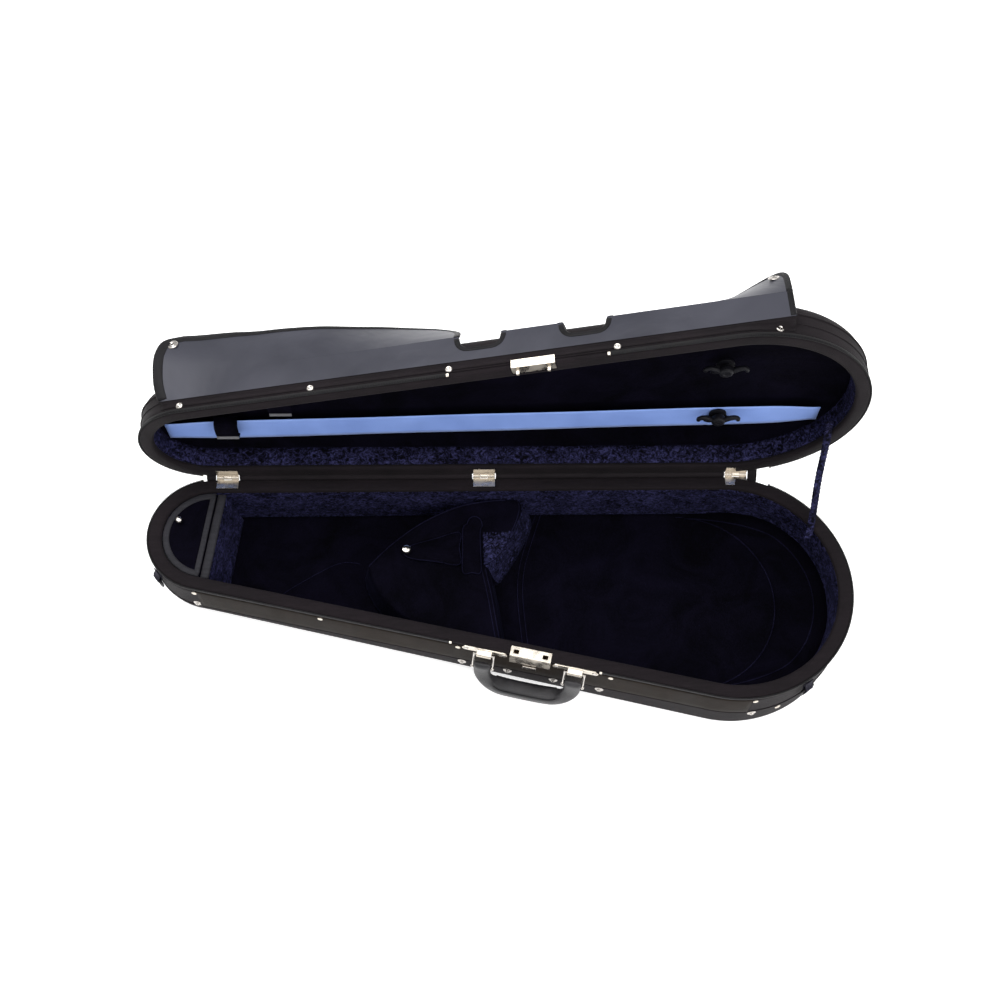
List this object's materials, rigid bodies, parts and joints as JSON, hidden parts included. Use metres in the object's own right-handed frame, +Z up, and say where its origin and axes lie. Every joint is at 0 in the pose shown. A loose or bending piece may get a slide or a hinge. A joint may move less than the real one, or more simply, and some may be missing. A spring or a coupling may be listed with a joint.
{
  "type": "violin case",
  "caption": "Open tapered violin case: velvet-lined base and lid, neck block, lidded pockets, ribbon, bow holders, lock, snap-down flap and carrying handle.",
  "frame": {"origin": "on the flat underside of the base, halfway between the centres of the two round ends", "axes": "+X along the case from the narrow scroll end to the wide body end, parallel to the hinge line; +Y to the back, where the hinges are; +Z up"},
  "size_m": [0.7891, 0.3728, 0.3736],
  "materials": {
    "cover_cloth": "coarse woven cloth, near black",
    "front_satin": "smooth black-brown cloth with a soft gloss",
    "rim_cloth": "dark woven cloth",
    "shell_board": "moulded plywood, hidden",
    "plush": "crushed velvet, dark navy with violet-blue lights",
    "velvet": "short-pile velvet, very dark navy",
    "ribbon_satin": "pale blue satin ribbon",
    "plated_metal": "nickel plated, satin",
    "flap_pvc": "blue-grey coated cloth, soft gloss",
    "handle_grip": "moulded grip with a leather grain",
    "black_plastic": "black moulded plastic",
    "webbing": "dark woven webbing",
    "zip_tape": "black zip tape"
  },
  "bodies": {
    "base": {"base_cover": "cover_cloth", "front_panel": "front_satin", "base_rim": "rim_cloth", "base_shell": "shell_board", "base_wall_lining": "plush", "scroll_partition": "plush", "floor_pad": "velvet", "lower_bout_cushion": "velvet", "neck_block": "velvet", "neck_strap": "velvet", "lock_case": "plated_metal", "handle_bracket_left": "plated_metal", "handle_bracket_right": "plated_metal", "base_stud_wide": "plated_metal", "base_stud_narrow": "plated_metal", "hinge_base_leaf_narrow": "plated_metal", "hinge_base_leaf_middle": "plated_metal", "hinge_base_leaf_wide": "plated_metal", "hinge_pin_narrow": "plated_metal", "hinge_pin_middle": "plated_metal", "hinge_pin_wide": "plated_metal", "stay_strap": "webbing", "strap_tab_wide": "webbing", "strap_tab_narrow": "webbing", "base_zip_wide": "zip_tape", "base_zip_narrow": "zip_tape"},
    "lid": {"lid_cover": "cover_cloth", "lid_rim": "rim_cloth", "lid_shell": "shell_board", "lid_wall_lining": "plush", "lid_panel": "velvet", "bow_tip_loop_rear": "velvet", "bow_tip_loop_front": "velvet", "ribbon": "ribbon_satin", "striker_plate": "plated_metal", "hinge_lid_leaf_narrow": "plated_metal", "hinge_lid_leaf_middle": "plated_metal", "hinge_lid_leaf_wide": "plated_metal", "bow_spinner_foot_rear": "black_plastic", "bow_spinner_foot_front": "black_plastic", "lid_zip_wide": "zip_tape", "lid_zip_narrow": "zip_tape"},
    "flap": {"flap": "flap_pvc", "flap_socket_wide": "plated_metal"},
    "flap_tip": {"flap_tip": "flap_pvc", "flap_tongue": "flap_pvc"},
    "flap_end": {"flap_end": "flap_pvc", "flap_socket_narrow": "plated_metal"},
    "handle_bails": {"handle_bail_left": "plated_metal", "handle_bail_right": "plated_metal"},
    "handle": {"handle": "handle_grip"},
    "lock_slider": {"lock_slider": "plated_metal"},
    "bow_spinner_rear": {"bow_spinner_rear": "black_plastic"},
    "bow_spinner_front": {"bow_spinner_front": "black_plastic"},
    "scroll_pocket_lid": {"scroll_pocket_lid": "velvet", "scroll_pocket_knob": "plated_metal"},
    "neck_pocket_lid": {"neck_pocket_lid": "velvet", "neck_pocket_knob": "plated_metal"},
    "strap_ring_wide": {"strap_ring_wide": "black_plastic"},
    "strap_ring_narrow": {"strap_ring_narrow": "black_plastic"}
  },
  "joints": [
    {"name": "lid_hinge", "type": "hinge", "parent": "base", "child": "lid", "pos_m": [0, 0.1036, 0.088], "axis": [1, 0, 0], "range_deg": [0, 91], "deforming": ["stay_strap"]},
    {"name": "flap_fold", "type": "hinge", "parent": "lid", "child": "flap", "pos_m": [-0.02354, 0.1222, 0.29415], "axis": [0.9748, 0.0039, 0.2231], "range_deg": [0, 188]},
    {"name": "flap_untwist", "type": "hinge", "parent": "flap", "child": "flap_end", "pos_m": [-0.02354, 0.1222, 0.29415], "axis": [0.9748, 0.0039, 0.2231], "range_deg": [-70, 0]},
    {"name": "flap_bend", "type": "hinge", "parent": "flap", "child": "flap_tip", "pos_m": [-0.02223, 0.15558, 0.28781], "axis": [0.9748, 0.0039, 0.2231], "range_deg": [0, 60]},
    {"name": "handle_swing", "type": "hinge", "parent": "base", "child": "handle_bails", "pos_m": [0.01511, -0.11323, 0.08], "axis": [-0.9748, 0.2232, 0], "range_deg": [0, 95]},
    {"name": "handle_tilt", "type": "hinge", "parent": "handle_bails", "child": "handle", "pos_m": [0.06207, -0.13218, 0.065], "axis": [-0.9748, 0.2232, 0], "range_deg": [0, 45]},
    {"name": "lock_slide", "type": "slide", "parent": "base", "child": "lock_slider", "axis": [0.9748, -0.2232, 0], "range_m": [0, 0.005], "stiffness_N_per_m": 120},
    {"name": "bow_spinner_rear_turn", "type": "hinge", "parent": "lid", "child": "bow_spinner_rear", "pos_m": [0.276, 0.13079, 0.17914], "axis": [0, -0.9998, 0.0175], "range_deg": [0, 90]},
    {"name": "bow_spinner_front_turn", "type": "hinge", "parent": "lid", "child": "bow_spinner_front", "pos_m": [0.268, 0.13247, 0.27513], "axis": [0, -0.9998, 0.0175], "range_deg": [0, 90]},
    {"name": "scroll_pocket_open", "type": "hinge", "parent": "base", "child": "scroll_pocket_lid", "pos_m": [-0.292, 0.033, 0.0843], "axis": [-0.1123, -0.9937, 0], "range_deg": [-95, 0]},
    {"name": "neck_pocket_open", "type": "hinge", "parent": "base", "child": "neck_pocket_lid", "pos_m": [-0.01, 0, 0.066], "axis": [0, -1, 0], "range_deg": [-90, 0]},
    {"name": "strap_ring_wide_swing", "type": "hinge", "parent": "base", "child": "strap_ring_wide", "pos_m": [0.36737, -0.1486, 0.064], "axis": [-0.8377, -0.5462, 0], "range_deg": [0, 90]},
    {"name": "strap_ring_narrow_swing", "type": "hinge", "parent": "base", "child": "strap_ring_narrow", "pos_m": [-0.34942, -0.01043, 0.064], "axis": [-0.6033, 0.7975, 0], "range_deg": [0, 90]}
  ],
  "couplings": [
    {"joint": "flap_untwist", "follows": "flap_fold", "ratio": -0.3723},
    {"joint": "flap_bend", "follows": "flap_fold", "ratio": 0.3191}
  ]
}
